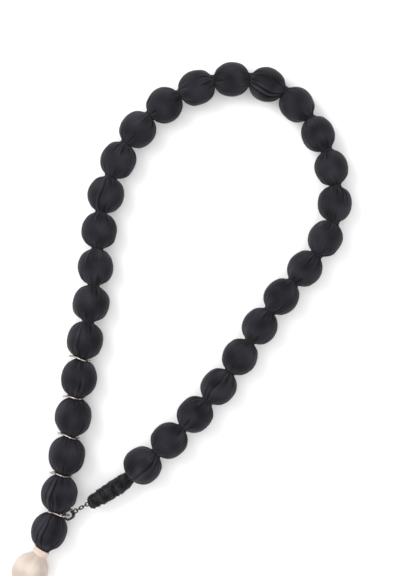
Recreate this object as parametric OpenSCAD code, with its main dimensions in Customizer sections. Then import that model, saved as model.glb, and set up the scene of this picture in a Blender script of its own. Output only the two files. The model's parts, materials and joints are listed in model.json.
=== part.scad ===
/* [Beads] */
// Diameter of a bead over its cloth cover
bead_d = 19.2; // [18.4:0.1:19.4]
// Thickness of the cloth cover
cover_t = 0.7; // [0.5:0.1:0.9]
// Distance between bead centres along the strand
bead_pitch = 20.6; // [20.4:0.1:21.5]
// Bore through the wooden core of a bead
core_bore_d = 6; // [5.8:0.1:6.6]
// Diameter of the thread tie that gathers the cloth between two beads
tie_d = 5.2; // [4.4:0.1:5.4]

/* [Washers] */
// Distance between bead centres where a washer sits between them
washer_pitch = 22; // [21.8:0.1:23]
// Outer diameter of a wavy washer
washer_d = 13; // [12:0.1:13.4]
// Hole of a wavy washer
washer_hole_d = 8; // [7.8:0.1:8.6]
// Thickness of the washer's sheet metal
washer_t = 0.9; // [0.6:0.1:1]
// Height of each of the washer's two waves
washer_wave = 0.5; // [0.3:0.1:0.7]
// Diameter of the cloth gather that passes through a washer
gather_d = 3.2; // [2.6:0.1:3.4]

/* [Clasp] */
// Thickness of the lobster claw
claw_t = 1.8; // [1.6:0.1:2]
// Wire diameter of the chain links
wire_d = 0.5; // [0.4:0.05:0.55]
// Inside length of a chain link
link_inside = 2.2; // [2.1:0.1:2.4]

/* [Tab] */
// Thickness of the wrapped cloth tab
tab_d = 8.8; // [8:0.1:9]
// Bend radius of the tab
tab_bend_r = 53; // [50:1:70]

/* [Tail] */
// Outer diameter of the wound satin collar
collar_d = 10.6; // [9.6:0.1:11]
// Length of the wound satin collar
collar_l = 4.2; // [3.8:0.1:4.4]
// Length of the loose cloth end below the cream bead
tuft_l = 14; // [10:1:16]

/* [Hidden] */
$fn = 48;
BEADS = 29;
ROOT = 14;
FIRST_WASHER = 24;
WASHERS = 5;
CREAM = 30;

// Heading of the first bead, and the turn at each tie on the way to the cream bead, in degrees
first_heading = 42;
turns = [
    2, 3, 5, 5, 0, -6, -2, 14, 23, 19, 13, 16, 24, 27, 17,
    13, 15, 15, 10, 9, 1, -4, -1, 2, -1, -1, -2, -7, -11
];

// How each washer leans from square to the strand, and how far it has slid sideways
washer_lean = [-3, 4, -4, 3, 6];
washer_slide = [-1, -1.2, -0.9, -1.4, 2];

// Room between two sewn or wound pieces that lie against each other
fit_gap = 0.1;
// Room round a tie or a knot in the mouth it turns in
seat_gap = 0.3;
whole = 4 * bead_d;

bead_r = bead_d / 2;
core_r = bead_r - cover_t - fit_gap;
tie_r = tie_d / 2;
tie_neck_r = tie_r - 0.4;
gather_r = gather_d / 2;
knot_r = gather_r + 0.3;
needle_hole_r = 0.5;
collar_gap = 0.9;
collar_bore_r = tie_r + seat_gap + 2 * fit_gap;
cream_reach = collar_gap + collar_l + fit_gap + bead_r;
tail_reach = bead_r + 0.7;

function bead_name(i) = str("bead_", i < 10 ? "0" : "", i);
function along(a) = [cos(a), sin(a), 0];
function sum(list, n) = n == 0 ? 0 : list[n - 1] + sum(list, n - 1);
function heading(i) = first_heading + sum(turns, i - 1);
function has_washer(i) = i >= FIRST_WASHER && i < FIRST_WASHER + WASHERS;

// Distance from a bead's centre to the tie before it and after it
function reach_after(i) = i == CREAM ? tail_reach : has_washer(i) ? washer_pitch / 2 : bead_pitch / 2;
function reach_before(i) = i == CREAM ? cream_reach : i == 1 ? bead_pitch / 2 : reach_after(i - 1);

// Centres of the beads from the first one on, and the tie after a bead
function centre_from_first(i) = i == 1 ? [0, 0, 0]
    : centre_from_first(i - 1) + reach_after(i - 1) * along(heading(i - 1))
    + reach_before(i) * along(heading(i));
function tie_from_first(i) = centre_from_first(i) + reach_after(i) * along(heading(i));

// The strand lies flat with the middle of its outline over the origin
tuft_r = 4.6;
tuft_end = centre_from_first(CREAM) + (tail_reach + tuft_l - tuft_r) * along(heading(CREAM));
lows = concat([for (i = [1:CREAM]) centre_from_first(i) - [bead_r, bead_r, 0]],
    [tuft_end - [tuft_r, tuft_r, 0]]);
highs = [for (i = [1:CREAM]) centre_from_first(i) + [bead_r, bead_r, 0]];
strand_mid = [
    (min([for (p = lows) p.x]) + max([for (p = highs) p.x])) / 2,
    (min([for (p = lows) p.y]) + max([for (p = highs) p.y])) / 2,
    -bead_r
];
function centre(i) = centre_from_first(i) - strand_mid;
function tie(i) = tie_from_first(i) - strand_mid;

// The tab starts at the tie before the first bead and bends as it runs to the clasp
tab_tie = centre(1) - reach_before(1) * along(heading(1));
tab_heading = heading(1) + 180;
tab_r = tab_d / 2;
tab_start = tab_r + 0.6;
tab_arc = 19;
tab_core_r = 2.6;
tab_l = tab_start + tab_arc * PI / 180 * tab_bend_r;

// The last washer holds the clasp by its rim
function washer_heading(n) = (heading(FIRST_WASHER + n - 1) + heading(FIRST_WASHER + n)) / 2
    + washer_lean[n - 1];
function washer_centre(n) = tie(FIRST_WASHER + n - 1)
    - washer_slide[n - 1] * along(washer_heading(n) - 90);
rim_r = (washer_d + washer_hole_d) / 4;
hook_point = washer_centre(WASHERS) - rim_r * along(washer_heading(WASHERS) - 90)
    + washer_wave / 2 * along(washer_heading(WASHERS));

module at_bead(i) {
    translate(centre(i)) rotate([0, 0, heading(i)]) children();
}

module ring(mean_r, section_r) {
    rotate_extrude() translate([mean_r, 0]) circle(r = section_r);
}

module across() {
    rotate([0, 90, 0]) children();
}

// Turns a half outline about the strand's own axis: X is the distance from it, Y is along it
module turned() {
    across() rotate_extrude() intersection() {
        children();
        translate([0, -whole / 2]) square([bead_d, whole]);
    }
}

module wooden_core() {
    color("tan") turned() difference() {
        circle(r = core_r);
        translate([0, -whole / 2]) square([core_bore_d / 2, whole]);
    }
}

// The cloth gathers into a thread tie, which sits in the open mouth of the next cover
module gathered_end(reach, washer) {
    inside = bead_r - cover_t / 2;
    translate([0, inside]) square([washer ? gather_r : tie_neck_r, reach - inside]);
    translate([0, reach]) circle(r = washer ? knot_r : tie_r);
}

module mouth(reach, washer) {
    translate([0, reach]) circle(r = (washer ? knot_r : tie_r) + seat_gap);
}

module cover_hollow() {
    circle(r = bead_r - cover_t);
    translate([0, -whole / 2]) square([needle_hole_r, whole]);
}

module cloth_cover(i) {
    turned() difference() {
        union() {
            circle(r = bead_r);
            if (i <= ROOT) mirror([0, 1]) gathered_end(reach_before(i), false);
            if (i >= ROOT) gathered_end(reach_after(i), has_washer(i));
        }
        cover_hollow();
        if (i < ROOT) mouth(reach_after(i), false);
        if (i > ROOT) mirror([0, 1]) mouth(reach_before(i), has_washer(i - 1));
    }
}

module bead(i) {
    at_bead(i) {
        wooden_core();
        color("#2c2c31") cloth_cover(i);
    }
}

module cream_bead() {
    sleeve_l = cream_reach - tie_r - 2 * seat_gap;
    at_bead(CREAM) {
        wooden_core();
        color("#e6d9cc") turned() difference() {
            union() {
                circle(r = bead_r);
                gathered_end(reach_after(CREAM), false);
                translate([0, -sleeve_l]) square([tie_r, sleeve_l]);
            }
            cover_hollow();
        }
    }
}

module satin_collar() {
    wraps = 4;
    wrap_r = collar_l / wraps / 2;
    wrap_at = collar_d / 2 - wrap_r;
    color("#eadfd2") at_bead(CREAM) translate([collar_gap - cream_reach, 0, 0]) across() difference() {
        union() {
            cylinder(h = collar_l, r = wrap_at);
            for (k = [0:wraps - 1]) translate([0, 0, (2 * k + 1) * wrap_r]) ring(wrap_at, wrap_r);
        }
        cylinder(h = whole, r = collar_bore_r, center = true);
    }
}

module at_tail() {
    at_bead(CREAM) translate([tail_reach, 0, 0]) across() children();
}

// Turns of thread bite a little into each other
module tail_binding() {
    turns_of_thread = 3;
    thread_r = 0.45;
    pitch = 1.8 * thread_r;
    first = tie_r + seat_gap + thread_r;
    color("#d8cabb") at_tail() difference() {
        for (k = [0:turns_of_thread - 1]) translate([0, 0, first + k * pitch])
            ring(tie_r + thread_r, thread_r);
        cylinder(h = tuft_l, r = tie_r);
    }
}

module tail_tuft() {
    neck_r = tie_r - fit_gap;
    neck_l = tie_r + seat_gap + 2.6;
    round_at = tuft_l - tuft_r;
    color("#e6d9cc") at_tail() difference() {
        union() {
            cylinder(h = neck_l, r = neck_r);
            translate([0, 0, neck_l]) cylinder(h = round_at - neck_l, r1 = neck_r, r2 = tuft_r);
            translate([0, 0, round_at]) sphere(r = tuft_r);
        }
        sphere(r = tie_r + seat_gap);
    }
}

// Two arcs, one each way, make the S of a wavy washer seen from its edge
module wave_profile() {
    half = washer_d / 4;
    arc_r = (half * half + washer_wave * washer_wave) / (2 * washer_wave);
    bite = 0.02;
    for (side = [-1, 1]) intersection() {
        translate([side * half, side * (arc_r - washer_wave)]) difference() {
            circle(r = arc_r + washer_t / 2, $fn = 180);
            circle(r = arc_r - washer_t / 2, $fn = 180);
        }
        translate([side * washer_d / 2, 0]) square([washer_d + bite, 4 * washer_t], center = true);
    }
}

module washer(n) {
    color("#8c7f78") translate(washer_centre(n)) rotate([0, 0, washer_heading(n) - 90]) intersection() {
        rotate([90, 0, 0]) difference() {
            cylinder(h = washer_d, d = washer_d, center = true, $fn = 96);
            cylinder(h = whole, d = washer_hole_d, center = true, $fn = 96);
        }
        linear_extrude(height = whole, center = true) wave_profile();
    }
}

// Places children at a distance along the tab's curved middle line, with +X along it
module on_tab(s) {
    bend = s <= tab_start ? 0 : (s - tab_start) / tab_bend_r * 180 / PI;
    translate(tab_tie) rotate([0, 0, tab_heading]) translate([min(s, tab_start), 0, 0])
        translate([0, -tab_bend_r, 0]) rotate([0, 0, -bend]) translate([0, tab_bend_r, 0]) children();
}

module tab_rod(section_r, from_arc, to_arc) {
    translate(tab_tie) rotate([0, 0, tab_heading]) translate([tab_start, -tab_bend_r, 0])
        rotate([0, 0, 90 - to_arc]) rotate_extrude(angle = to_arc - from_arc, $fn = 360)
            translate([tab_bend_r, 0]) circle(r = section_r);
}

module tab_core() {
    color("#3a3a3f") tab_rod(tab_core_r, 0, tab_arc);
}

module tab_wrap() {
    hollow_r = tab_core_r + fit_gap;
    hollow_over = 0.2;
    cap_r = tab_r - 0.1;
    shank_hole_r = eyelet_shank_r + 0.05;
    color("#232327") difference() {
        union() {
            tab_rod(tab_r, 0, tab_arc);
            on_tab(tab_start) sphere(r = cap_r);
            on_tab(tab_l) sphere(r = cap_r);
        }
        tab_rod(hollow_r, -hollow_over, tab_arc + hollow_over);
        on_tab(0) sphere(r = tie_r + seat_gap);
        on_tab(0) translate([tie_r, 0, 0]) across() cylinder(h = tab_start - tie_r, r = tab_core_r);
        on_tab(tab_l + tab_r) across() cylinder(h = 3, r = shank_hole_r, center = true);
    }
}

// Two turns of thread near each end of the tab hold its wrapping
module tab_whipping() {
    thread_r = 0.3;
    from_end = [3, 3.7];
    places = concat([for (d = from_end) tab_start + d], [for (d = from_end) tab_l - d]);
    color("#1b1b1f") for (s = places) on_tab(s) across() ring(tab_r + fit_gap + thread_r, thread_r);
}

// An oval ring of wire lying in the XY plane, its long way along X
module oval_link(inside, straight_in) {
    bend_r = straight_in / 2 + wire_d / 2;
    straight = inside - straight_in;
    for (side = [0, 180]) rotate([0, 0, side]) {
        translate([straight / 2, 0, 0]) rotate([0, 0, -90]) rotate_extrude(angle = 180)
            translate([bend_r, 0]) circle(r = wire_d / 2);
        translate([0, bend_r, 0]) across() cylinder(h = straight, r = wire_d / 2, center = true);
    }
}

link_width_in = 2 * wire_d;
link_slack = 0.2;
eyelet_r = 0.75;
eyelet_shank_r = 0.32;
eyelet_shank_l = 1.2;
claw_eye_r = 0.75;
claw_eye_wire_r = 0.35;
eyelet_at = tab_l + tab_r + eyelet_r + wire_d - fit_gap;

// Along the line from the tab's eyelet to the washer's rim
function on_tab_point(s) = tab_tie
    + [cos(tab_heading) * tab_start, sin(tab_heading) * tab_start, 0]
    + tab_bend_r * (along(tab_heading - 90) - along(tab_heading - 90 - tab_arc))
    + (s - tab_l) * along(tab_heading - tab_arc);
eyelet_centre = on_tab_point(eyelet_at);
chain_line = hook_point - eyelet_centre;
chain_heading = atan2(chain_line.y, chain_line.x);
link_1_at = eyelet_r + link_inside / 2 - link_slack;
link_2_at = link_1_at + link_inside - link_slack;
jump_ring_at = link_2_at + link_inside - link_slack;
claw_at = jump_ring_at + link_inside / 2 + claw_eye_r - link_slack;

module on_chain(distance) {
    translate(eyelet_centre) rotate([0, 0, chain_heading]) translate([distance, 0, 0]) children();
}

module tab_eyelet() {
    color("#6f665f") union() {
        on_chain(0) ring(eyelet_r + wire_d / 2, wire_d / 2);
        on_tab(tab_l + tab_r - eyelet_shank_l)
            across()
                cylinder(h = eyelet_shank_l + 0.3, r = eyelet_shank_r);
    }
}

module chain_link(distance, upright) {
    color("#6b5344") on_chain(distance) rotate([upright ? 90 : 0, 0, 0])
        oval_link(link_inside, link_width_in);
}

// The claw in its own plane: eye at the origin, hook towards +X round the washer's rim, lever on +Y.
// Its heel by the eye and its back are thicker than its hook.
claw_far = norm(chain_line) - claw_at;
claw_straight = 1.55;
claw_near = claw_far - claw_straight;
claw_out_r = 2.7;
claw_in_r = 1.7;
claw_heel = 0.9;
claw_back = 0.25;
pin_behind = 1.3;
pin_at = [claw_near - pin_behind, claw_in_r];
pin_r = 0.25;
boss_r = 1;
hook_tip_x = claw_far + 0.1;
lever_t = 0.6;
lever_h = 0.95;
lever_end_gap = 0.15;
lever_reach = hook_tip_x - pin_at.x - lever_end_gap;
slot_t = 1;
slot_r = 0.8;

module on_claw() {
    on_chain(claw_at) mirror([0, 1, 0]) children();
}

module claw_stadium(r, near) {
    translate([near, 0]) circle(r = r);
    translate([claw_far, 0]) circle(r = r);
    translate([near, -r]) square([claw_far - near, 2 * r]);
}

module claw_outline() {
    mouth_start = pin_at.x + slot_r - 0.1;
    difference() {
        union() {
            translate([0, -claw_back]) claw_stadium(claw_out_r, claw_near);
            translate(pin_at) circle(r = boss_r);
        }
        claw_stadium(claw_in_r, claw_near + claw_heel);
        translate([mouth_start, 0.5]) square([hook_tip_x - mouth_start, claw_out_r]);
    }
}

// The lever's hub and its swing need a slot in the middle of the claw's thickness
module lever_slot() {
    translate(pin_at) circle(r = slot_r);
    intersection() {
        translate(pin_at) circle(r = hook_tip_x - pin_at.x);
        translate([pin_at.x, -boss_r]) square([2 * claw_in_r, 2 * claw_out_r]);
    }
}

// The eye is thinner than the body, so that a narrow wire ring can turn in it
module claw() {
    color("#5b5350") on_claw() union() {
        difference() {
            linear_extrude(height = claw_t, center = true) claw_outline();
            linear_extrude(height = slot_t, center = true) lever_slot();
            translate(pin_at) cylinder(h = 2 * claw_t, r = pin_r, center = true);
        }
        ring(claw_eye_r + claw_eye_wire_r, claw_eye_wire_r);
    }
}

module claw_lever() {
    hub_r = 0.6;
    bore_r = pin_r + 0.06;
    color("#6b6360") on_claw() translate(pin_at) difference() {
        linear_extrude(height = lever_t, center = true) {
            circle(r = hub_r);
            intersection() {
                translate([0, 0.05]) square([lever_reach, lever_h]);
                circle(r = lever_reach);
            }
        }
        cylinder(h = 2 * lever_t, r = bore_r, center = true);
    }
}

module lever_pin() {
    color("#9a9390") on_claw() translate(pin_at) cylinder(h = claw_t + 0.2, r = pin_r, center = true);
}

// A turn of spring wire on each side of the lever's hub
module lever_spring() {
    spring_r = 0.42;
    spring_wire_r = 0.07;
    color("silver") on_claw() translate(pin_at) for (side = [-1, 1])
        translate([0, 0, side * (slot_t + lever_t) / 4]) ring(spring_r, spring_wire_r);
}

for (i = [1:BEADS]) bead(i);
cream_bead();
satin_collar();
tail_binding();
tail_tuft();
for (n = [1:WASHERS]) washer(n);
tab_core();
tab_wrap();
tab_whipping();
tab_eyelet();
chain_link(link_1_at, true);  // chain_link_1
chain_link(link_2_at, false);  // chain_link_2
chain_link(jump_ring_at, true);  // jump_ring
claw();
claw_lever();
lever_pin();
lever_spring();
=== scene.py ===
# %% [markdown]
# # A strand of cloth-covered prayer beads
#
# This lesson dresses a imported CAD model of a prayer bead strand. The strand is a row of
# drilled wooden balls in a tube of thin cloth. Thread gathers the cloth between each ball
# and the next, so every bead has fine pleats that run from neck to neck.
#
# The CAD model is the fixed frame: it knows the place, the size and the joints of each
# bead. Here each smooth CAD bead is swapped for a pleated cover of its own, and the metal
# and thread pieces get their real finishes. Sizes are in metres, so `MM` is one millimetre.

import bmesh
import bpy
import json
import math
import random
from mathutils import Matrix, Vector, noise


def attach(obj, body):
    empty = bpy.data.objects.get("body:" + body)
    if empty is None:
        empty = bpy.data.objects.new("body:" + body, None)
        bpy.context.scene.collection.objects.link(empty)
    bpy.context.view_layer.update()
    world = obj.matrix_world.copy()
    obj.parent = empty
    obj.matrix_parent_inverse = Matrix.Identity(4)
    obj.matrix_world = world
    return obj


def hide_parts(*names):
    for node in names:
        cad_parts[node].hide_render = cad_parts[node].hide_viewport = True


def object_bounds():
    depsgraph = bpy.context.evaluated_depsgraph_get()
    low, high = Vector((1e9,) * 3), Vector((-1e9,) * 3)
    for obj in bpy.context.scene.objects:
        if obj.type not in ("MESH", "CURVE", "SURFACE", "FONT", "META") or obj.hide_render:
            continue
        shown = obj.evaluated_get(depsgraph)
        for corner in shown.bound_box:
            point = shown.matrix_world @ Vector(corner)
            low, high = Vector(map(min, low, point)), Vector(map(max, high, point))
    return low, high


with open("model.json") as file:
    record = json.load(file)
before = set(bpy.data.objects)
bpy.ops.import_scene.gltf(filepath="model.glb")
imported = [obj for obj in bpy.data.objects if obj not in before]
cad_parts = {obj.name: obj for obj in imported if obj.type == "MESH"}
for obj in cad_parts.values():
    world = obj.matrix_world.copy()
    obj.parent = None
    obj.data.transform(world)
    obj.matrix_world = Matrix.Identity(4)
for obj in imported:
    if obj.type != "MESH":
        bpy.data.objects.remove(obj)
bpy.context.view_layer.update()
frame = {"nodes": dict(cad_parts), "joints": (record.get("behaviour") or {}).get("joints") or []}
MM = 0.001
CM = 0.01

# %% [markdown]
# ## Where the strand runs
#
# Each pair of neighbouring beads turns about the middle of the thread tie between them, so
# the joints of the frame already list every tie in order. Two neighbouring ties give one
# bead its middle and its direction. Reading them from the frame keeps the pieces on the
# CAD model, with no measuring by eye.

# %% Ties along the strand
BEADS = 29
joints = {joint["name"]: joint for joint in frame["joints"]}


def joint_point(name):
    return Vector(joints[name]["pos_m"])


def bead_body(number):
    return f"bead_{number:02d}"


neck_joints = [f"neck_{i:02d}_{i + 1:02d}" for i in range(1, BEADS)]
tie_joints = ["tab_swing"] + neck_joints + ["neck_29_cream", "tail_swing"]
ties = [joint_point(name) for name in tie_joints]
print("ties:", len(ties), "first spacing in mm:", round((ties[2] - ties[1]).length / MM, 2))


def strand_place(middle, direction):
    """A place whose local Z runs along the strand and whose local X points up."""
    along = direction.normalized()
    up = Vector((0, 0, 1))
    turn = Matrix((up, along.cross(up), along)).transposed().to_4x4()
    return Matrix.Translation(middle) @ turn


# %% [markdown]
# ## Three small mesh helpers
#
# Most pieces here are round about the strand, like work on a lathe. The quick way to make
# such a piece is to draw half of its outline and spin it once round. `bmesh.ops.spin` does
# that, and `use_merge` closes the seam. The last helper turns a finished bmesh into an
# object and puts its place into the mesh, so the object itself stays at the origin.
#
# Points that are moved by hand leave the stored normals behind, so these are brought up to
# date before the faces are turned outward. Without that step a bent piece can come out
# inside out, which a render hides and a mesh file shows.

# %% Spin an outline, finish a piece
def face_outward(bm):
    bm.normal_update()
    bmesh.ops.recalc_face_normals(bm, faces=bm.faces)


def turned(outline, steps, closed=False):
    """Spins (distance from the axis, place along it) points once round local Z."""
    bm = bmesh.new()
    verts = [bm.verts.new((r, 0, z)) for r, z in outline]
    pairs = list(zip(verts, verts[1:])) + ([(verts[-1], verts[0])] if closed else [])
    edges = [bm.edges.new(pair) for pair in pairs]
    bmesh.ops.spin(bm, geom=verts + edges, cent=(0, 0, 0), axis=(0, 0, 1),
                   angle=2 * math.pi, steps=steps, use_merge=True)
    bmesh.ops.remove_doubles(bm, verts=bm.verts, dist=1e-6)
    face_outward(bm)
    return bm


def wrap_uv(bm, radius):
    """Lays a UV map in centimetres round and along the piece, while it still stands on Z."""
    uv = bm.loops.layers.uv.new("cloth")
    for face in bm.faces:
        turns = [math.atan2(loop.vert.co.y, loop.vert.co.x) for loop in face.loops]
        over_seam = max(turns) - min(turns) > math.pi
        for loop, turn in zip(face.loops, turns):
            turn += 2 * math.pi if over_seam and turn < 0 else 0
            loop[uv].uv = (turn * radius / CM, loop.vert.co.z / CM)


def finish_piece(bm, name, place, material, body, nodes=()):
    """Makes the object, sets its finish and says which body carries it."""
    bm.transform(place)
    mesh = bpy.data.meshes.new(name)
    bm.to_mesh(mesh)
    bm.free()
    piece = bpy.data.objects.new(name, mesh)
    bpy.context.scene.collection.objects.link(piece)
    mesh.materials.append(material)
    mesh.shade_smooth()
    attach(piece, body)
    if nodes:
        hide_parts(*nodes)
    return piece


# %% [markdown]
# ## Finishes
#
# A finish is built from nodes in three layers: colour that varies a little, a bump that
# gives the surface its grain, and the shader with its roughness and sheen. Cloth reads the
# piece's own UV map, so its weave follows the surface and bends with it. The `fold`
# attribute is stored on each cover as it is pleated: it is high on a ridge and low in a
# crease. It paints shade into a crease, as darker colour and less gloss, and paints a little
# light onto a ridge, so a fold looks deeper than its tiny real depth.

# %% Node helpers
def new_material(name):
    material = bpy.data.materials.new(name)
    material.use_nodes = True
    tree = material.node_tree
    return material, tree, tree.nodes["Principled BSDF"]


def add_node(tree, kind, **settings):
    node = tree.nodes.new(kind)
    for key, value in settings.items():
        if key in node.inputs:
            node.inputs[key].default_value = value
        else:
            setattr(node, key, value)
    return node


def scaled(tree, source, scale):
    mapping = add_node(tree, "ShaderNodeMapping")
    mapping.inputs["Scale"].default_value = scale
    tree.links.new(source, mapping.inputs["Vector"])
    return mapping.outputs["Vector"]


def ramp(tree, source, stops):
    """A colour ramp with one stop for each (place, colour) pair."""
    node = add_node(tree, "ShaderNodeValToRGB")
    elements = node.color_ramp.elements
    while len(elements) < len(stops):
        elements.new(0.5)
    for element, (place, colour) in zip(elements, stops):
        element.position = place
        element.color = (*colour, 1)
    tree.links.new(source, node.inputs["Fac"])
    return node.outputs["Color"]


def math_node(tree, operation, a, b):
    node = add_node(tree, "ShaderNodeMath", operation=operation)
    for socket, value in zip(node.inputs, (a, b)):
        if isinstance(value, (int, float)):
            socket.default_value = value
        else:
            tree.links.new(value, socket)
    return node.outputs["Value"]


def add_bump(tree, shader, height, strength, distance):
    bump = add_node(tree, "ShaderNodeBump", Strength=strength, Distance=distance)
    tree.links.new(height, bump.inputs["Height"])
    tree.links.new(bump.outputs["Normal"], shader.inputs["Normal"])


# %% Woven cloth
# Scales are per centimetre of cloth; the shares say how much each layer adds to the colour
SPOT_SCALE, STREAK_STRETCH = 1.6, (14, 1.2, 1)
# FOLD_SHADE_SHARE is painted shade and light: the fold height darkens creases and lightens ridges in the
# colour
FOLD_SHADE_SHARE, STREAK_SHARE, SPOT_SHARE = 0.30, 0.35, 0.35
WAVES_PER_UNIT = 0.314
# FOLD_SHADE_GLOSS paints shade by dulling the specular gloss in a crease and raising it on a ridge
EVEN_GLOSS, FOLD_SHADE_GLOSS = 0.26, 0.12


def cloth_material(name, stops, roughness, sheen, threads_per_cm, crinkle):
    material, tree, shader = new_material(name)
    uv = add_node(tree, "ShaderNodeUVMap", uv_map="cloth").outputs["UV"]
    fold = add_node(tree, "ShaderNodeAttribute", attribute_name="fold").outputs["Fac"]
    spots = add_node(tree, "ShaderNodeTexNoise", Scale=SPOT_SCALE, Detail=4.0)
    tree.links.new(uv, spots.inputs["Vector"])
    streaks = add_node(tree, "ShaderNodeTexNoise", Scale=1.0, Detail=3.0)
    tree.links.new(scaled(tree, uv, STREAK_STRETCH), streaks.inputs["Vector"])
    # Colour mix: painted shade and light from the fold height, plus the cloth's own uneven streaks and
    # spots
    mixed = math_node(tree, "ADD", math_node(tree, "MULTIPLY", fold, FOLD_SHADE_SHARE),
                      math_node(tree, "MULTIPLY", streaks.outputs["Fac"], STREAK_SHARE))
    mixed = math_node(tree, "ADD", mixed, math_node(tree, "MULTIPLY", spots.outputs["Fac"], SPOT_SHARE))
    tree.links.new(ramp(tree, mixed, stops), shader.inputs["Base Color"])
    wave_scale = threads_per_cm * WAVES_PER_UNIT
    warp = add_node(tree, "ShaderNodeTexWave", bands_direction="X", Scale=wave_scale, Distortion=0.6)
    weft = add_node(tree, "ShaderNodeTexWave", bands_direction="Y", Scale=wave_scale, Distortion=0.6)
    for thread in (warp, weft):
        tree.links.new(uv, thread.inputs["Vector"])
    weave = math_node(tree, "MULTIPLY", warp.outputs["Fac"], weft.outputs["Fac"])
    wrinkle = math_node(tree, "MULTIPLY", streaks.outputs["Fac"], crinkle)
    add_bump(tree, shader, math_node(tree, "ADD", weave, wrinkle), 0.5, 0.08 * MM)
    shader.inputs["Roughness"].default_value = roughness
    shader.inputs["Sheen Weight"].default_value = sheen
    shader.inputs["Sheen Roughness"].default_value = 0.45
    # Painted shade: the specular level falls in a crease and rises on a ridge, following the fold height
    gloss = math_node(tree, "MULTIPLY_ADD", fold, FOLD_SHADE_GLOSS)
    gloss.node.inputs[2].default_value = EVEN_GLOSS
    gloss.node.use_clamp = True
    tree.links.new(gloss, shader.inputs["Specular IOR Level"])
    return material


charcoal_cloth = cloth_material(
    "charcoal_cloth",
    [(0.10, (0.001, 0.001, 0.002)),
     (0.38, (0.0064, 0.0062, 0.0108)),
     (0.75, (0.0172, 0.0168, 0.0250))],
    roughness=0.82, sheen=0.08, threads_per_cm=24, crinkle=2.5)
ivory_cloth = cloth_material(
    "ivory_cloth",
    [(0.08, (0.41, 0.335, 0.28)), (0.38, (0.53, 0.455, 0.395)), (0.75, (0.60, 0.53, 0.475))],
    roughness=0.7, sheen=0.2, threads_per_cm=24, crinkle=1.5)
ivory_satin = cloth_material(
    "ivory_satin",
    [(0.10, (0.46, 0.34, 0.27)), (0.40, (0.64, 0.53, 0.45)), (0.75, (0.80, 0.72, 0.65))],
    roughness=0.32, sheen=0.1, threads_per_cm=40, crinkle=1.0)
black_tape = cloth_material(
    "black_tape",
    [(0.10, (0.001, 0.001, 0.0015)), (0.40, (0.007, 0.007, 0.009)), (0.80, (0.022, 0.022, 0.027))],
    roughness=0.9, sheen=0.15, threads_per_cm=14, crinkle=1.5)
print("cloth finishes:", [m.name for m in (charcoal_cloth, ivory_cloth, ivory_satin, black_tape)])


# %% [markdown]
# ## Metal and plain thread
#
# The washers and the clasp are small pieces of worn plate. A metal looks worn when its
# roughness varies and fine scratches catch the light, so both come from noise on the
# object's own coordinates. The thread and cord need only a twist, which is a wave.

# %% Worn metal
WEAR_SCALE, SCRATCH_SCALE, SCRATCH_STRETCH = 900.0, 500.0, (1, 9, 1)
ROUGH_SPREAD = 0.25


def metal_material(name, dark, light, roughness):
    material, tree, shader = new_material(name)
    place = add_node(tree, "ShaderNodeTexCoord").outputs["Object"]
    wear = add_node(tree, "ShaderNodeTexNoise", Scale=WEAR_SCALE, Detail=6.0)
    scratch = add_node(tree, "ShaderNodeTexNoise", Scale=SCRATCH_SCALE, Detail=4.0)
    tree.links.new(place, wear.inputs["Vector"])
    tree.links.new(scaled(tree, place, SCRATCH_STRETCH), scratch.inputs["Vector"])
    tree.links.new(ramp(tree, wear.outputs["Fac"], [(0.35, dark), (0.65, light)]),
                   shader.inputs["Base Color"])
    rough = math_node(tree, "MULTIPLY_ADD", scratch.outputs["Fac"], ROUGH_SPREAD)
    rough.node.inputs[2].default_value = roughness - 0.12
    tree.links.new(rough, shader.inputs["Roughness"])
    add_bump(tree, shader, scratch.outputs["Fac"], 0.25, 0.03 * MM)
    shader.inputs["Metallic"].default_value = 1.0
    return material


def thread_material(name, dark, light, roughness):
    material, tree, shader = new_material(name)
    place = add_node(tree, "ShaderNodeTexCoord").outputs["Object"]
    twist = add_node(tree, "ShaderNodeTexWave", bands_direction="DIAGONAL", Scale=700.0, Distortion=2.0)
    tree.links.new(place, twist.inputs["Vector"])
    tree.links.new(ramp(tree, twist.outputs["Fac"], [(0.2, dark), (0.8, light)]),
                   shader.inputs["Base Color"])
    add_bump(tree, shader, twist.outputs["Fac"], 0.5, 0.05 * MM)
    shader.inputs["Roughness"].default_value = roughness
    return material


worn_nickel = metal_material("worn_nickel", (0.10, 0.080, 0.074), (0.62, 0.545, 0.51), 0.28)
gunmetal = metal_material("gunmetal", (0.006, 0.005, 0.005), (0.04, 0.034, 0.032), 0.28)
dark_bronze = metal_material("dark_bronze", (0.006, 0.004, 0.003), (0.085, 0.042, 0.026), 0.26)
pin_steel = metal_material("pin_steel", (0.25, 0.23, 0.22), (0.45, 0.43, 0.41), 0.30)
black_thread = thread_material("black_thread", (0.004, 0.004, 0.005), (0.02, 0.02, 0.023), 0.8)
ivory_thread = thread_material("ivory_thread", (0.50, 0.40, 0.31), (0.84, 0.76, 0.67), 0.6)
cotton_cord = thread_material("cotton_cord", (0.02, 0.02, 0.022), (0.06, 0.06, 0.065), 0.85)

# %% [markdown]
# ## The shape of a cloth cover
#
# Under the cloth is a ball, and between two balls is a tie. The cover's outline follows
# the ball and then leaves it for the neck, as cloth does when it is pulled in. The two are
# joined with a soft maximum, so there is no corner. Each neck ends in a small dome about
# the tie, which keeps the strand closed when the joint bends.

# %% Outline of a cover
NECK_R = 2.8 * MM
FULLNESS = 2.12
SPAN, SPAN_LIMIT = 1.05, 0.99
FLARE_LENGTH, SOFT_JOIN = 1.7 * MM, 0.5 * MM
DOME_STEPS = 5


def soft_max(a, b, soft):
    return (a + b + math.sqrt((a - b) ** 2 + soft ** 2)) / 2


def dome(end, sign):
    """Points of the round end about a tie, from the strand's line out to the neck."""
    reach, neck_r, _, height = end
    points = [(0, sign * (reach + neck_r * height))]
    for k in range(1, DOME_STEPS):
        angle = k / DOME_STEPS * math.pi / 2
        points.append((neck_r * math.sin(angle), sign * (reach + neck_r * height * math.cos(angle))))
    return points


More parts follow.
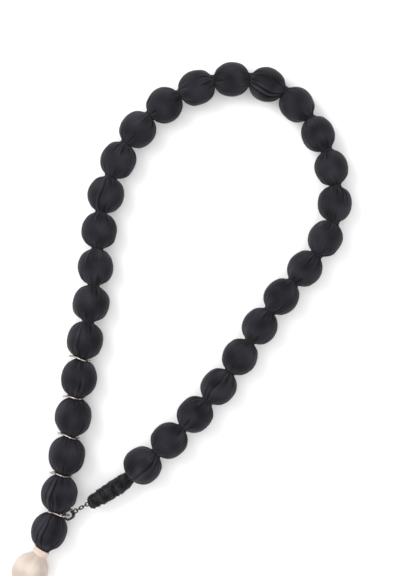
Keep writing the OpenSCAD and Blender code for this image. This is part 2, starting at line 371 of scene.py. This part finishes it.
def cover_outline(low, high, ball_r, rings=40):
    """low and high are (reach to the tie, neck radius, flare, dome) for the two ends.
    A fullness over 2 fills the shoulders out past a true ball."""
    outline = dome(low, -1)
    for k in range(rings + 1):
        s = math.sin((k / rings - 0.5) * math.pi)
        reach, neck_r, flare, _ = high if s > 0 else low
        z = s * reach
        to_tie = reach - abs(z)
        span = min(SPAN * ball_r, SPAN_LIMIT * reach)
        ball = ball_r * max(1 - abs(z / span) ** FULLNESS, 0) ** (1 / FULLNESS)
        neck = neck_r + flare * (1 - math.exp(-to_tie / FLARE_LENGTH))
        outline.append((soft_max(ball, neck, SOFT_JOIN * min(1, to_tie / MM)), z))
    return outline + dome(high, 1)[::-1]


# %% [markdown]
# ## Pleats
#
# A gathered cover has two kinds of fold. A few long tucks run over the ball, each a sharp
# crease with a soft ridge beside it, where spare cloth was laid over itself. Close to the
# neck there are many small gathers. Real covers are pleated by hand, so every cover here
# draws its own folds from its own seed: no two are alike, and each run gives the same set.
# Moving vertices in code is the right tool, because the folds are shallow and follow the
# grid that the spin left.

# %% Sculpt the pleats
def ease(x):
    x = min(max(x, 0), 1)
    return x * x * (3 - 2 * x)


def turn_between(a, b):
    return (a - b + math.pi) % (2 * math.pi) - math.pi


def random_tucks(rng, count, depth):
    tucks = []
    for _ in range(count):
        tucks.append({"turn": rng.uniform(-math.pi, math.pi), "width": rng.uniform(0.05, 0.10),
                      "depth": depth * rng.uniform(0.3, 1), "drift": rng.uniform(-0.25, 0.25),
                      "sway": rng.uniform(-0.07, 0.07), "middle": rng.choice((-0.9, 0.9)),
                      "length": rng.uniform(0.6, 1.5), "side": rng.choice((-1, 1))})
    return tucks


def tuck_height(tuck, turn, t):
    away = turn_between(turn, tuck["turn"] + tuck["drift"] * t + tuck["sway"] * math.sin(4 * t))
    away *= tuck["side"] / tuck["width"]
    if abs(away) > 4:
        return 0
    fade = ease(1.3 * (1 - abs(t - tuck["middle"]) / tuck["length"]))
    ridge = 0.6 * math.exp(-((away - 1.5) / 0.95) ** 2)
    crease = math.exp(-(away / 0.5) ** 2)
    return fade * tuck["depth"] * (ridge - crease)


SWELL, SWELL_SIZE = 0.35 * MM, 7 * MM
WRINKLE = 0.05 * MM
# Fold height that gives the full painted shade or painted light in the cloth finish
FOLD_FULL = 0.4 * MM
LINE_R = 0.2 * MM


def pleat(bm, rng, reach, tucks, gather):
    """Moves each point in or out: tucks, gathers near the necks, a swell and fine wrinkles."""
    fold = bm.verts.layers.float.new("fold")
    seed = rng.uniform(0, 50)
    for vert in bm.verts:
        x, y, z = vert.co
        r = math.hypot(x, y)
        if r < LINE_R:
            continue
        turn = math.atan2(y, x)
        t = z / reach
        height = sum(tuck_height(tuck, turn, t) for tuck in tucks)
        around = (math.cos(turn), math.sin(turn))
        lobes = Vector((around[0] * 4.5, around[1] * 4.5, seed + 0.8 * t + math.copysign(4, t)))
        fine = Vector((around[0] * 9, around[1] * 9, seed + t + math.copysign(9, t)))
        near_neck = ease((abs(t) - 0.40 - 0.5 * noise.noise(lobes / 2)) / 0.42)
        height += gather * near_neck * (1.3 * noise.noise(lobes) + 1.3 * noise.noise(fine))
        height += SWELL * noise.noise(vert.co / SWELL_SIZE + Vector((seed, 0, 0)))
        height += WRINKLE * noise.noise(fine * 1.2)
        height *= ease((r - 0.8 * MM) / (3 * MM))
        vert.co.x *= 1 + height / r
        vert.co.y *= 1 + height / r
        # The fold value drives painted shade in creases and painted light on ridges in the cloth finish
        vert[fold] = min(max(height / FOLD_FULL, -1), 1)


# %% [markdown]
# ## The dark beads
#
# Now the covers are made one by one. The strand's middle bead has a tie on both sides that
# is its own, and each other bead shares its ties with its neighbours. Where a washer sits
# between two beads, the necks are longer and the cloth fills out to the washer.

# %% Necks and long folds
FIRST_WASHER, LAST_WASHER = 24, 28
COVER_STEPS = 180
SMALL_BALL_R = 9.5 * MM
FIRST_IS_WIDER = 0.5 * MM
WASHER_NECK_R = 2.6 * MM

# Folds that run from neck to neck: (turn from the top in radians, depth) for some beads
LONG_FOLDS = {
    1: [(0.25, 0.4 * MM)],
    4: [(-0.2, 0.35 * MM)],
    14: [(-0.75, 0.9 * MM), (-0.45, 0.5 * MM)],
    20: [(0.2, 0.3 * MM)],
    24: [(0.3, 0.3 * MM)],
    28: [(0.36, 0.6 * MM), (0.66, 0.2 * MM)],
    29: [(0.2, 0.45 * MM), (0.45, 0.3 * MM)],
}
neck_rng = random.Random(60)
neck_radii = [NECK_R + neck_rng.uniform(-0.1, 0.5) * MM for _ in ties]


def neck_end(number, own_reach):
    """The neck at tie `number`: fuller where a washer or the collar sits on it."""
    if FIRST_WASHER <= number <= LAST_WASHER:
        return (own_reach, WASHER_NECK_R, 4.2 * MM, 1.0)
    if number == BEADS:
        return (own_reach, 3.9 * MM, 2.2 * MM, 0.5)
    return (own_reach, neck_radii[number], 1.6 * MM, 1.0)


print("neck radii in mm:", round(min(neck_radii) / MM, 1), "to", round(max(neck_radii) / MM, 1))

# %% Room for the clasp
# The clasp lies against two covers, and their cloth is pressed in there
BESIDE_CLASP = (28, 29)
CLASP_ROOM = 3.6 * MM
MOST_PRESSED = 0.8 * MM


def press_in(bm, clasp_point):
    """Pushes the cloth towards the strand's line, away from a point of the clasp."""
    for vert in bm.verts:
        near = CLASP_ROOM - (vert.co - clasp_point).length
        if near > 0:
            r = math.hypot(vert.co.x, vert.co.y)
            shrink = 1 - min(MOST_PRESSED, 0.6 * near) / max(r, 4 * MM)
            vert.co.x *= shrink
            vert.co.y *= shrink


# %% Make the dark covers
for i in range(1, BEADS + 1):
    rng = random.Random(500 + i)
    before, after = ties[i - 1], ties[i]
    half = (after - before).length / 2
    ball_r = SMALL_BALL_R + 0.6 * MM * ease(abs(i - 10.5) / 11) + rng.uniform(-0.1, 0.15) * MM
    ball_r += FIRST_IS_WIDER if i == 1 else 0
    bm = turned(cover_outline(neck_end(i - 1, half), neck_end(i, half), ball_r), COVER_STEPS)
    wrap_uv(bm, ball_r)
    tucks = random_tucks(rng, rng.randint(1, 5), 0.5 * MM)
    for turn, depth in LONG_FOLDS.get(i, ()):
        tucks.append({"turn": turn, "width": 0.09, "depth": depth, "drift": rng.uniform(-0.1, 0.1),
                      "sway": 0.05, "middle": 0, "length": 3, "side": 1})
    pleat(bm, rng, half, tucks, 0.36 * MM)
    place = strand_place((before + after) / 2, after - before)
    if i in BESIDE_CLASP:
        press_in(bm, place.inverted() @ joint_point("lever_swing"))
    finish_piece(bm, f"cover_{i:02d}", place, charcoal_cloth, bead_body(i), [bead_body(i)])
print("dark covers:", BEADS, "smallest across in mm:", round(2 * SMALL_BALL_R / MM, 1))

# %% [markdown]
# ## Thread ties
#
# Two turns of thread pull each neck in. Each turn is a thin ring: a small circle that is
# spun round the strand. The ties ride on one of the two beads that they join, and they sit
# at the turning point, so they stay in place when the neck bends.

# %% Wind the ties
def ring_bm(ring_r, thread_r, places, steps=56, tilts=None, flat=1.0):
    """Rings of thread round local Z, one for each place along it."""
    bm = bmesh.new()
    for k, z in enumerate(places):
        made = bmesh.ops.create_circle(bm, segments=12, radius=thread_r)["verts"]
        bmesh.ops.scale(bm, vec=(flat, 1, 1), verts=made)
        bmesh.ops.rotate(bm, verts=made, cent=(0, 0, 0), matrix=Matrix.Rotation(math.pi / 2, 3, "X"))
        bmesh.ops.translate(bm, verts=made, vec=(ring_r, 0, 0))
        loop = list({edge for vert in made for edge in vert.link_edges})
        bmesh.ops.spin(bm, geom=made + loop, cent=(0, 0, 0), axis=(0, 0, 1),
                       angle=2 * math.pi, steps=steps, use_merge=True)
        ring = [vert for vert in bm.verts if not vert.tag]
        if tilts:
            bmesh.ops.rotate(bm, verts=ring, cent=(0, 0, 0), matrix=Matrix.Rotation(tilts[k], 3, "X"))
        bmesh.ops.translate(bm, verts=ring, vec=(0, 0, z))
        for vert in ring:
            vert.tag = True
    face_outward(bm)
    return bm


ROOT_BEAD = 14
TIE_THREAD_R, TIE_SINKS = 0.2 * MM, 0.04 * MM
for number in range(1, BEADS):
    rng = random.Random(900 + number)
    owner = number if number >= ROOT_BEAD else number + 1
    tilts = [rng.uniform(-0.06, 0.06) for _ in range(2)]
    in_washer = FIRST_WASHER <= number <= LAST_WASHER
    ring_r = (WASHER_NECK_R if in_washer else neck_radii[number]) - TIE_SINKS
    bm = ring_bm(ring_r, TIE_THREAD_R, (-TIE_THREAD_R, TIE_THREAD_R), tilts=tilts)
    place = strand_place(ties[number], ties[number + 1] - ties[number - 1])
    finish_piece(bm, f"tie_{number:02d}", place, black_thread, bead_body(owner))
print("thread ties:", BEADS - 1)

# %% [markdown]
# ## A frayed gather
#
# One gather on the far side of the loop has come a little loose, and a wisp of cut
# threads stands out of it. Each thread is a thin four-sided cone. They start on the neck
# and lean away from the loop, so they read as fraying and not as fur.

# %% Fray one gather
FRAYED_TIE = 10
FRAYED_THREADS = 46


def frayed_threads(count, neck_r):
    rng = random.Random(44)
    bm = bmesh.new()
    for _ in range(count):
        length = rng.uniform(0.9, 2.2) * MM
        made = bmesh.ops.create_cone(bm, cap_ends=True, segments=4, radius1=rng.uniform(0.12, 0.3) * MM,
                                     radius2=0.04 * MM, depth=length)["verts"]
        bmesh.ops.translate(bm, verts=made, vec=(0, 0, length * 0.4))
        lean = Matrix.Rotation(rng.uniform(0.7, 2.4), 3, "Y")
        bmesh.ops.rotate(bm, verts=made, cent=(0, 0, 0), matrix=lean)
        bmesh.ops.translate(bm, verts=made, vec=(neck_r - 0.2 * MM, 0, rng.uniform(-0.9, 0.9) * MM))
        outward = Matrix.Rotation(rng.uniform(-0.9, 0.9) - math.pi / 2, 3, "Z")
        bmesh.ops.rotate(bm, verts=made, cent=(0, 0, 0), matrix=outward)
    face_outward(bm)
    return bm


place = strand_place(ties[FRAYED_TIE], ties[FRAYED_TIE + 1] - ties[FRAYED_TIE - 1])
finish_piece(frayed_threads(FRAYED_THREADS, neck_radii[FRAYED_TIE]), "frayed_threads", place,
             black_thread, bead_body(FRAYED_TIE + 1))
print("frayed threads:", FRAYED_THREADS)

# %% [markdown]
# ## Wavy washers
#
# A wavy washer starts flat and is pressed into a wave. The mesh is made in the same order:
# a rectangle with worn corners is spun into a flat ring, and then each point moves along
# the strand by a sine of its distance to the side. The ring has the inner and outer size
# of the CAD washer, so it hooks into the claw exactly.

# %% Make the washers
WASHER_OUT_R, WASHER_IN_R = 6.5 * MM, 4.0 * MM
WASHER_HALF_T, WASHER_WAVE = 0.42 * MM, 0.5 * MM


def washer_outline(edge=0.16 * MM):
    """A rectangle with cut corners, as (distance from the axis, place along it)."""
    t = WASHER_HALF_T
    return [(WASHER_IN_R + edge, -t), (WASHER_OUT_R - edge, -t), (WASHER_OUT_R, edge - t),
            (WASHER_OUT_R, t - edge), (WASHER_OUT_R - edge, t), (WASHER_IN_R + edge, t),
            (WASHER_IN_R, t - edge), (WASHER_IN_R, edge - t)]


WASHERS = LAST_WASHER - FIRST_WASHER + 1
for n in range(1, WASHERS + 1):
    bm = turned(washer_outline(), 96, closed=True)
    spin_joint = joints[f"washer_{n}_spin"]
    for vert in bm.verts:
        vert.co.z -= WASHER_WAVE * math.sin(math.pi * vert.co.y / WASHER_OUT_R)
    place = strand_place(Vector(spin_joint["pos_m"]), Vector(spin_joint["axis"]))
    washer = finish_piece(bm, f"wavy_washer_{n}", place, worn_nickel, f"washer_{n}",
                          [f"washer_{n}"])
    washer.data.set_sharp_from_angle(angle=math.radians(40))
print("washers:", WASHERS, "outer size in mm:", round(2 * WASHER_OUT_R / MM, 1))

# %% [markdown]
# ## The clasp and its chain
#
# The clasp's outlines are already right in the CAD model, but its edges are knife-sharp. A
# cast claw has rounded edges that catch the light. Each node is copied, its loose
# triangles are merged and its flat sides dissolved to single faces, and then the sharp
# edges are bevelled. The wire links need no bevel, only a smooth finish, and each is made
# a little thicker along its normals. The pin, the spring and the tab's core are hidden, so
# their CAD nodes stay as they are and only get a finish.

# %% Round the clasp's edges
def rounded_copy(node, name, material, body, width, fatten=0):
    """A copy of a CAD node with its sharp edges bevelled by `width`, or its skin moved out."""
    bm = bmesh.new()
    bm.from_mesh(frame["nodes"][node].data)
    bmesh.ops.remove_doubles(bm, verts=bm.verts, dist=1e-6)
    if width:
        bmesh.ops.dissolve_limit(bm, angle_limit=math.radians(1), verts=bm.verts, edges=bm.edges)
        sharp = [e for e in bm.edges if len(e.link_faces) == 2 and e.calc_face_angle() > math.radians(50)]
        bmesh.ops.bevel(bm, geom=sharp, offset=width, segments=3, profile=0.5, affect="EDGES",
                        material=-1, clamp_overlap=True)
        bmesh.ops.triangulate(bm, faces=[f for f in bm.faces if len(f.verts) > 4])
    bm.normal_update()
    for vert in bm.verts:
        vert.co += vert.normal * fatten
    piece = finish_piece(bm, name, Matrix.Identity(4), material, body, [node])
    piece.data.set_sharp_from_angle(angle=math.radians(40))
    return piece


WIRE_FATTEN = 0.06 * MM
rounded_copy("claw", "lobster_claw", gunmetal, "claw", 0.25 * MM)
rounded_copy("claw_lever", "lever", gunmetal, "claw_lever", 0.12 * MM)
rounded_copy("tab_eyelet", "eyelet", dark_bronze, "tab", 0, WIRE_FATTEN)
for link in ("chain_link_1", "chain_link_2", "jump_ring"):
    rounded_copy(link, f"wire_{link}", dark_bronze, link, 0, WIRE_FATTEN)
hidden_finishes = {"lever_pin": pin_steel, "lever_spring": pin_steel, "tab_core": cotton_cord}
for node, material in hidden_finishes.items():
    frame["nodes"][node].data.materials.clear()
    frame["nodes"][node].data.materials.append(material)
print("clasp pieces rounded")

# %% [markdown]
# ## The wrapped tab
#
# The end of the strand is a short tab: tape wound crosswise over a cord. It is spun
# straight, so its wraps and its UV map are easy to lay out, and then bent onto the curve
# of the CAD tab by moving each point to its place along that curve. The wraps are slanted
# and uneven, because tape is wound by hand.

# %% Make the tab
TAB_BEND_R = 53 * MM
TAB_ARC = math.radians(19)
TAB_START = 5.0 * MM
TAPE_WIDTH = 1.2 * MM
TAB_CORE_END = TAB_START + TAB_BEND_R * TAB_ARC
TAB_TIP = TAB_CORE_END + 4.9 * MM
TAB_BOW = 0.8 * MM
tab_direction = ties[0] - ties[1]
tab_angle = math.atan2(tab_direction.y, tab_direction.x)


def tab_radius(s):
    """Radius of the tab at a distance from the tie."""
    body = 3.9 * MM + 0.7 * MM * ease(s / (4 * MM)) - 0.6 * MM * ease((s - 14 * MM) / (8 * MM))
    past_core = max((s - TAB_CORE_END) / (TAB_TIP - TAB_CORE_END), 0)
    return body * max(1 - past_core ** 4, 0) ** 0.5


def bend_point(co):
    """Moves a point of the straight tab onto its curved middle line, with a slight bow."""
    turn = max(co.z - TAB_START, 0) / TAB_BEND_R
    straight = min(co.z, TAB_START)
    bow = TAB_BOW * math.sin(math.pi * min(max(co.z / TAB_TIP, 0), 1))
    radius = TAB_BEND_R + co.y - bow
    return Vector((straight + radius * math.sin(turn), radius * math.cos(turn) - TAB_BEND_R, co.x))


def make_tab():
    """Spins the tab straight, raises its wraps, and bends it last."""
    rng = random.Random(77)
    outline = [(0, -2.9 * MM), (1.6 * MM, -2.5 * MM), (2.9 * MM, -1.4 * MM)]
    rings = 190
    for k in range(rings):
        s = TAB_TIP * k / rings
        outline.append((tab_radius(s), s))
    outline += [(0.5 * MM, TAB_TIP - 0.01 * MM), (0, TAB_TIP)]
    bm = turned(outline, 110)
    wrap_uv(bm, 4.4 * MM)
    fold = bm.verts.layers.float.new("fold")
    seed = rng.uniform(0, 50)
    for vert in bm.verts:
        x, y, z = vert.co
        r = math.hypot(x, y)
        if r < 0.3 * MM:
            continue
        turn = math.atan2(y, x)
        slant = z + 0.9 * MM * math.sin(turn + 0.6) + 0.9 * MM * noise.noise(vert.co / (5 * MM))
        wraps = slant / TAPE_WIDTH
        step = wraps - math.floor(wraps)
        round_wrap = Vector((math.cos(turn) * 1.5, math.sin(turn) * 1.5, 7.3 * math.floor(wraps) + seed))
        height = 0.40 * MM * (step ** 0.5 - 0.75) * (0.7 + 0.9 * noise.noise(round_wrap))
        height += 0.35 * MM * noise.noise(round_wrap + Vector((5, 0, 0)))
        height += 0.35 * MM * noise.noise(vert.co / (3.2 * MM) + Vector((seed, 0, 0)))
        height += 0.35 * MM * noise.noise(vert.co / (0.7 * MM))
        height *= ease((r - 0.5 * MM) / (2 * MM))
        vert.co.x *= 1 + height / r
        vert.co.y *= 1 + height / r
        # The fold value drives painted shade in the hollows and painted light on the raised wraps of the
        # tape
        vert[fold] = min(max(height / (0.35 * MM), -1), 1)
    for vert in bm.verts:
        vert.co = bend_point(vert.co)
    face_outward(bm)
    return bm


tab_place = Matrix.Translation(ties[0]) @ Matrix.Rotation(tab_angle, 4, "Z")
finish_piece(make_tab(), "wrapped_tab", tab_place, black_tape, "tab", ["tab_wrap"])
print("tab length in mm:", round(TAB_TIP / MM, 1))


# %% Loose fibres on the tab
def make_fibres(count):
    """Short stray threads that stand off the tape, each a thin four-sided cone."""
    rng = random.Random(31)
    bm = bmesh.new()
    for _ in range(count):
        s = rng.uniform(0.5, 25) * MM
        turn = rng.uniform(-math.pi, math.pi)
        length = rng.uniform(0.5, 1.6) * MM
        made = bmesh.ops.create_cone(bm, cap_ends=True, segments=4, radius1=rng.uniform(0.08, 0.18) * MM,
                                     radius2=0.03 * MM, depth=length)["verts"]
        bmesh.ops.translate(bm, verts=made, vec=(0, 0, length * 0.4))
        lean = Matrix.Rotation(rng.uniform(-1.1, 1.1), 3, "X")
        lean = lean @ Matrix.Rotation(rng.uniform(-1.1, 1.1), 3, "Y")
        bmesh.ops.rotate(bm, verts=made, cent=(0, 0, 0), matrix=lean)
        bmesh.ops.rotate(bm, verts=made, cent=(0, 0, 0), matrix=Matrix.Rotation(math.pi / 2, 3, "Y"))
        bmesh.ops.translate(bm, verts=made, vec=(tab_radius(s), 0, 0))
        bmesh.ops.rotate(bm, verts=made, cent=(0, 0, 0), matrix=Matrix.Rotation(turn, 3, "Z"))
        bmesh.ops.translate(bm, verts=made, vec=(0, 0, s))
        for vert in made:
            vert.co = bend_point(vert.co)
    face_outward(bm)
    return bm


FIBRES = 280
finish_piece(make_fibres(FIBRES), "tab_fibres", tab_place, black_thread, "tab")
print("fibres:", FIBRES)

# %% [markdown]
# ## Thread round the tab
#
# Four turns of thread hold the tape near its two ends. They are rings like the ties, made
# straight with the tab and bent with the same helper, so they follow its curve. They sink
# into the tape, as a tight thread does.

# %% Wind the thread
WHIPPING_R, WHIPPING_THREAD_R = 4.5 * MM, 0.25 * MM
whipping_places = [s * MM for s in (8.0, 8.7, 18.9, 19.6)]
whipping_tilts = [0.05, 0.02, -0.04, -0.06]
bm = ring_bm(WHIPPING_R, WHIPPING_THREAD_R, whipping_places, steps=72, tilts=whipping_tilts)
for vert in bm.verts:
    vert.co = bend_point(vert.co)
face_outward(bm)
finish_piece(bm, "tab_thread", tab_place, black_thread, "tab", ["tab_whipping"])
print("turns of thread:", len(whipping_places))

# %% [markdown]
# ## The cream bead, its collar and its tail
#
# Below the last dark bead, satin thread is wound round the neck as a collar. The cream
# bead's cloth fills out to it, gathers over the ball, and comes together again in a bound
# tail. The collar is a stack of flattened rings with small tilts, which is how wound
# thread lies; the tail is a pleated skirt with an open hem.

# %% Cream cover
CREAM_BALL_R, CREAM_REACH = 10.1 * MM, 10.3 * MM
COLLAR_GAP, COLLAR_L = 0.6 * MM, 3.4 * MM
collar_tie, tail_tie = ties[BEADS], ties[BEADS + 1]
cream_direction = (tail_tie - collar_tie).normalized()
cream_middle = tail_tie - CREAM_REACH * cream_direction
rng = random.Random(641)
collar_end = (cream_middle - collar_tie).length - COLLAR_GAP - COLLAR_L
outline = cover_outline((collar_end, 4.0 * MM, 2.6 * MM, 0.4), (CREAM_REACH, NECK_R, 2.3 * MM, 1.0),
                        CREAM_BALL_R)
bm = turned(outline, COVER_STEPS)
wrap_uv(bm, CREAM_BALL_R)
pleat(bm, rng, 10 * MM, random_tucks(rng, 2, 0.10 * MM), 0.14 * MM)
finish_piece(bm, "cream_cover", strand_place(cream_middle, cream_direction), ivory_cloth, "cream_bead",
             ["cream_bead"])
print("cream bead across in mm:", round(2 * CREAM_BALL_R / MM, 1))

# %% Wound satin collar
WRAPS, WRAP_R, WRAP_THREAD_R = 4, 4.2 * MM, 0.60 * MM
BASE_IN_R = 3.3 * MM
rng = random.Random(12)
wrap_places = [COLLAR_GAP + COLLAR_L * (k + 0.5) / WRAPS for k in range(WRAPS)]
tilts = [rng.uniform(-0.09, 0.09) for _ in range(WRAPS)]
bm = ring_bm(WRAP_R, WRAP_THREAD_R, wrap_places, steps=96, tilts=tilts, flat=0.9)
wrap_uv(bm, 5 * MM)
collar_place = strand_place(collar_tie, cream_direction)
finish_piece(bm, "collar_wraps", collar_place, ivory_satin, "cream_bead", ["satin_collar"])
base_start, base_end = COLLAR_GAP + 0.3 * MM, COLLAR_GAP + COLLAR_L
bm = turned([(BASE_IN_R, base_start), (WRAP_R, base_start), (WRAP_R, base_end), (BASE_IN_R, base_end)],
            64, closed=True)
wrap_uv(bm, 4.6 * MM)
finish_piece(bm, "collar_base", collar_place, ivory_satin, "cream_bead")
print("collar wraps:", WRAPS)


# %% Bound tail
TAIL_PLEATS = 11


def make_tail():
    """A skirt of cloth with an open hem, bound at its top."""
    rng = random.Random(8)
    outline = [(0, -2.5), (1.3, -2.2), (2.1, -1.4), (2.5, 0), (2.45, 1.4), (2.4, 3), (2.4, 4.6), (2.6, 5.6),
               (3.0, 6.8), (3.4, 8), (3.8, 9.4), (4.1, 10.8), (4.3, 12.2), (4.35, 13.6), (4.15, 13.9),
               (3.7, 13.5), (3.3, 12.4), (2.6, 11.2), (1.2, 10.6), (0, 10.5)]
    bm = turned([(r * MM, z * MM) for r, z in outline], 150)
    long_edges = [e for e in bm.edges if abs(e.verts[0].co.z - e.verts[1].co.z) > 0.8 * MM]
    bmesh.ops.subdivide_edges(bm, edges=long_edges, cuts=1, use_grid_fill=True)
    wrap_uv(bm, 4 * MM)
    fold = bm.verts.layers.float.new("fold")
    seed = rng.uniform(0, 50)
    for vert in bm.verts:
        x, y, z = vert.co
        r = math.hypot(x, y)
        if r < 0.3 * MM:
            continue
        turn = math.atan2(y, x)
        open_out = ease(z / (13 * MM))
        around = Vector((math.cos(turn), math.sin(turn), seed))
        pleats = math.sin(TAIL_PLEATS * turn + 1.5 * noise.noise(around * 2))
        height = 0.55 * MM * open_out * pleats * min(1, r / (3 * MM))
        height += 0.15 * MM * noise.noise(vert.co / (1.5 * MM))
        vert.co.x *= 1 + height / r
        vert.co.y *= 1 + height / r
        if z > 11 * MM:
            vert.co.z += 0.6 * MM * noise.noise(Vector((math.cos(turn) * 2.5, math.sin(turn) * 2.5, seed)))
        # The fold value drives painted shade in the pleat creases and painted light on the ridges of the
        # tail
        vert[fold] = min(max(height / (0.6 * MM), -1), 1)
    return bm


BINDING_R, BINDING_THREAD_R, BINDING_TURNS = 2.65 * MM, 0.34 * MM, 4
tail_place = strand_place(tail_tie, cream_direction)
finish_piece(make_tail(), "tail_cloth", tail_place, ivory_cloth, "tail_tuft", ["tail_tuft"])
rng = random.Random(9)
binding_places = [(3.2 + 0.62 * k) * MM for k in range(BINDING_TURNS)]
tilts = [rng.uniform(-0.08, 0.08) for _ in range(BINDING_TURNS)]
bm = ring_bm(BINDING_R, BINDING_THREAD_R, binding_places, tilts=tilts)
finish_piece(bm, "tail_thread", tail_place, ivory_thread, "tail_tuft", ["tail_binding"])
print("turns that bind the tail:", BINDING_TURNS)

# %% [markdown]
# ## Floor, light and camera
#
# The strand lies on plain white paper and is seen from straight above. A large soft light
# stands up and to the left, so each bead has a soft edge of shade on its right. A white
# world lights everything else evenly. The camera is far away with a long lens, so the
# beads at the edge of the view are seen from above too.

# %% Floor
low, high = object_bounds()
bm = bmesh.new()
bmesh.ops.create_grid(bm, x_segments=1, y_segments=1, size=2)
bmesh.ops.translate(bm, verts=bm.verts, vec=(0, 0, low[2] - 0.05 * MM))
floor_mesh = bpy.data.meshes.new("paper_floor")
bm.to_mesh(floor_mesh)
bm.free()
floor = bpy.data.objects.new("paper_floor", floor_mesh)
bpy.context.scene.collection.objects.link(floor)
paper, tree, shader = new_material("white_paper")
shader.inputs["Base Color"].default_value = (0.93, 0.93, 0.935, 1)
shader.inputs["Roughness"].default_value = 0.9
floor_mesh.materials.append(paper)
print("floor height in mm:", round(low[2] / MM, 2))


# %% Lights
LIT_POINT = (0.02, 0.03, 0)


def add_area(name, place, size, power):
    """A square soft light at `place` that faces the strand."""
    data = bpy.data.lights.new(name, "AREA")
    data.size = size
    data.energy = power
    lamp = bpy.data.objects.new(name, data)
    lamp.location = place
    lamp.rotation_euler = (Vector(LIT_POINT) - Vector(place)).to_track_quat("-Z", "Y").to_euler()
    bpy.context.scene.collection.objects.link(lamp)


add_area("soft_key", (-0.75, 0.55, 0.95), 0.8, 11.5)
add_area("top_fill", (0.1, -0.1, 1.6), 1.6, 12)
world = bpy.data.worlds.new("studio")
world.use_nodes = True
world.node_tree.nodes["Background"].inputs["Color"].default_value = (1, 1, 1, 1)
world.node_tree.nodes["Background"].inputs["Strength"].default_value = 0.84
bpy.context.scene.world = world
bpy.context.scene.view_settings.view_transform = "Standard"

# %% Camera
VIEW_MIDDLE = (16.89 * MM, 27.06 * MM)
VIEW_HEIGHT = 324 * MM
LENS, SENSOR = 110, 36
BEAD_MIDDLE_Z = 9.6 * MM
camera_data = bpy.data.cameras.new("camera")
camera_data.lens = LENS
camera_data.sensor_width = SENSOR
camera_data.clip_start = 0.05
camera = bpy.data.objects.new("camera", camera_data)
camera.location = (*VIEW_MIDDLE, BEAD_MIDDLE_Z + VIEW_HEIGHT * LENS / SENSOR)
bpy.context.scene.collection.objects.link(camera)
bpy.context.scene.camera = camera
print("camera height in m:", round(camera.location.z, 3))
